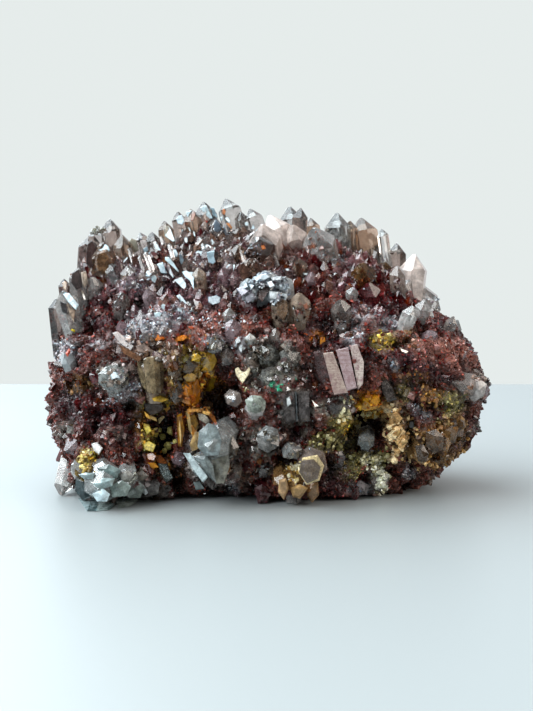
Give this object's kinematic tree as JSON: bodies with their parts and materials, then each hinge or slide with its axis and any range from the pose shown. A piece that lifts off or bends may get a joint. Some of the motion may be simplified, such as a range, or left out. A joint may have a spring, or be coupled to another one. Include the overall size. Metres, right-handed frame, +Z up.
{
  "type": "quartz crystal cluster",
  "caption": "Hand-size hematite phantom quartz cluster: smoky and clear six-sided points over a dark red iron-oxide crust, with rusty vugs below and a flat cut base.",
  "frame": {"origin": "middle of the flat cut base, on the surface it rests on", "axes": "+X along the crest, to the viewer's right; -Y out of the show side; +Z up"},
  "size_m": [0.1281, 0.0883, 0.0839],
  "materials": {
    "matrix": "gloss",
    "clear_quartz": "polished",
    "iron_stain": "satin"
  },
  "bodies": {
    "root": {"quartz_cluster": "matrix"}
  },
  "joints": []
}
